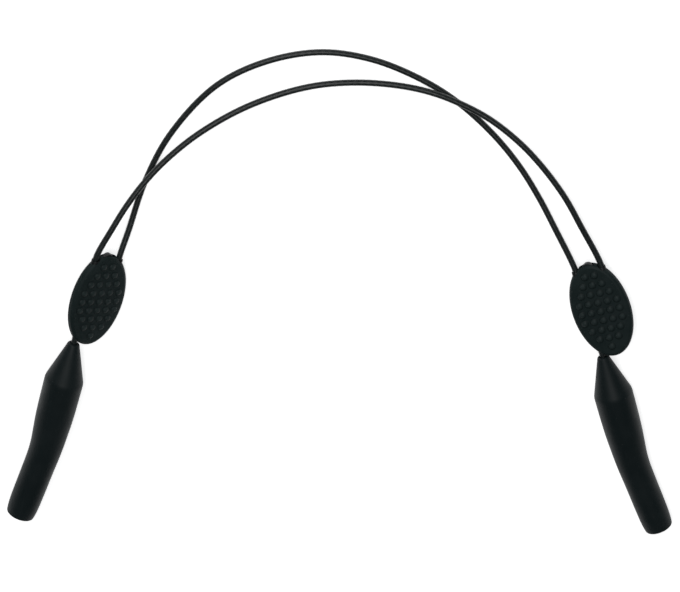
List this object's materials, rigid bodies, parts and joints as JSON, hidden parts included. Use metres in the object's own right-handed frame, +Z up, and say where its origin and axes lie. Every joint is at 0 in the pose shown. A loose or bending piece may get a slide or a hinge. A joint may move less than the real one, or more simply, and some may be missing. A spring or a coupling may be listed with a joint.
{
  "type": "eyeglass retainer strap",
  "caption": "Adjustable eyeglass retainer: coated steel cables arch behind the neck through textured sliding adjusters and end in hollow rubber grips that push onto the temple ends.",
  "frame": {"origin": "middle of the underside of the strap's box, measured without the cables, as it lies on a table", "axes": "+X from the left grip to the right grip, +Y from the grips to the arch, +Z up from the table"},
  "size_m": [0.1898, 0.1452, 0.0116],
  "materials": {
    "pad_rubber": "satin moulded elastomer with raised grip bumps",
    "grip_rubber": "smooth matte silicone rubber",
    "frame_nylon": "moulded nylon",
    "sleeve_elastomer": "matte",
    "stainless_steel": "satin",
    "cable_coating": "semi-gloss extruded coating over a stranded core"
  },
  "bodies": {
    "left_adjuster": {"left_front_cover": "pad_rubber", "left_back_cover": "pad_rubber", "left_channel_frame": "frame_nylon", "left_friction_sleeve": "sleeve_elastomer", "left_anchor_ferrule": "stainless_steel", "cable_a_jacket": "cable_coating", "cable_a_core": "stainless_steel"},
    "right_adjuster": {"right_front_cover": "pad_rubber", "right_back_cover": "pad_rubber", "right_channel_frame": "frame_nylon", "right_friction_sleeve": "sleeve_elastomer", "right_anchor_ferrule": "stainless_steel", "cable_b_jacket": "cable_coating", "cable_b_core": "stainless_steel"},
    "left_grip": {"left_temple_grip": "grip_rubber", "left_grip_ferrule": "stainless_steel"},
    "right_grip": {"right_temple_grip": "grip_rubber", "right_grip_ferrule": "stainless_steel"}
  },
  "joints": [
    {"name": "arch_adjust", "type": "hinge", "parent": "left_adjuster", "child": "right_adjuster", "pos_m": [0.0023, 0.0284, 0], "axis": [0, 0, 1], "range_deg": [0, 40], "deforming": ["cable_a_jacket", "cable_a_core", "cable_b_jacket", "cable_b_core"]},
    {"name": "left_tail_slide", "type": "slide", "parent": "left_adjuster", "child": "left_grip", "axis": [-0.2571, -0.9664, 0], "range_m": [0, 0.05], "deforming": ["cable_b_jacket", "cable_b_core"]},
    {"name": "right_tail_slide", "type": "slide", "parent": "right_adjuster", "child": "right_grip", "axis": [0.309, -0.9511, 0], "range_m": [0, 0.05], "deforming": ["cable_a_jacket", "cable_a_core"]}
  ],
  "couplings": [
    {"joint": "left_tail_slide", "follows": "arch_adjust", "m_per_rad": 0.07},
    {"joint": "right_tail_slide", "follows": "arch_adjust", "m_per_rad": 0.07}
  ]
}
